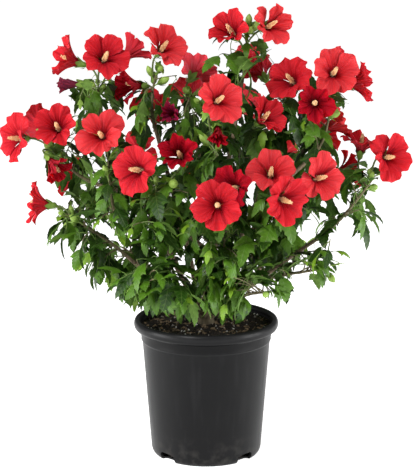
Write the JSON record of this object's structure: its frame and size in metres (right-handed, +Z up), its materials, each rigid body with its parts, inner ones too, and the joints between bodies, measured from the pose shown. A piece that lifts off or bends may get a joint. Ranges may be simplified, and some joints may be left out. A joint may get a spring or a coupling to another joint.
{
  "type": "potted hibiscus shrub",
  "caption": "Flowering hibiscus shrub: a leafy crown of woody stems with open red blooms and buds, rooted in a round tapered black nursery pot that stands on its flat base.",
  "frame": {"origin": "centre of the pot's flat underside, on the ground", "axes": "+Z up along the pot's axis; -Y is the side seen from the front; +X is to the right as seen from the front"},
  "size_m": [0.6184, 0.4553, 0.6963],
  "materials": {
    "pot": "satin black moulded plastic",
    "potting_mix": "moist bark and peat mix with white perlite",
    "bark": "matt grey-brown bark",
    "foliage": "green leaves and scarlet petals"
  },
  "bodies": {
    "root": {"pot": "pot", "potting_mix": "potting_mix", "trunk": "bark", "bough_top": "bark", "bough_crest": "bark", "bough_middle": "bark", "bough_upper_left": "bark", "bough_left_front": "bark", "bough_far_left": "bark", "bough_left_low": "bark", "bough_upper_middle": "bark", "bough_centre_left": "bark", "bough_upper_right": "bark", "bough_crown_right": "bark", "bough_right_front": "bark", "bough_far_right": "bark", "bough_right_low": "bark", "bough_centre_front": "bark", "bough_low_left": "bark", "bough_low_right": "bark", "bough_back": "bark", "bough_back_left": "bark", "bough_back_right": "bark", "bough_back_low": "bark", "bough_low_back_left": "bark", "bough_low_back_right": "bark", "foliage_top": "foliage", "foliage_crest": "foliage", "foliage_middle": "foliage", "foliage_upper_left": "foliage", "foliage_left_front": "foliage", "foliage_far_left": "foliage", "foliage_left_low": "foliage", "foliage_upper_middle": "foliage", "foliage_centre_left": "foliage", "foliage_upper_right": "foliage", "foliage_crown_right": "foliage", "foliage_right_front": "foliage", "foliage_far_right": "foliage", "foliage_right_low": "foliage", "foliage_centre_front": "foliage", "foliage_low_left": "foliage", "foliage_low_right": "foliage", "foliage_back": "foliage", "foliage_back_left": "foliage", "foliage_back_right": "foliage", "foliage_back_low": "foliage", "foliage_low_back_left": "foliage", "foliage_low_back_right": "foliage"}
  },
  "joints": []
}
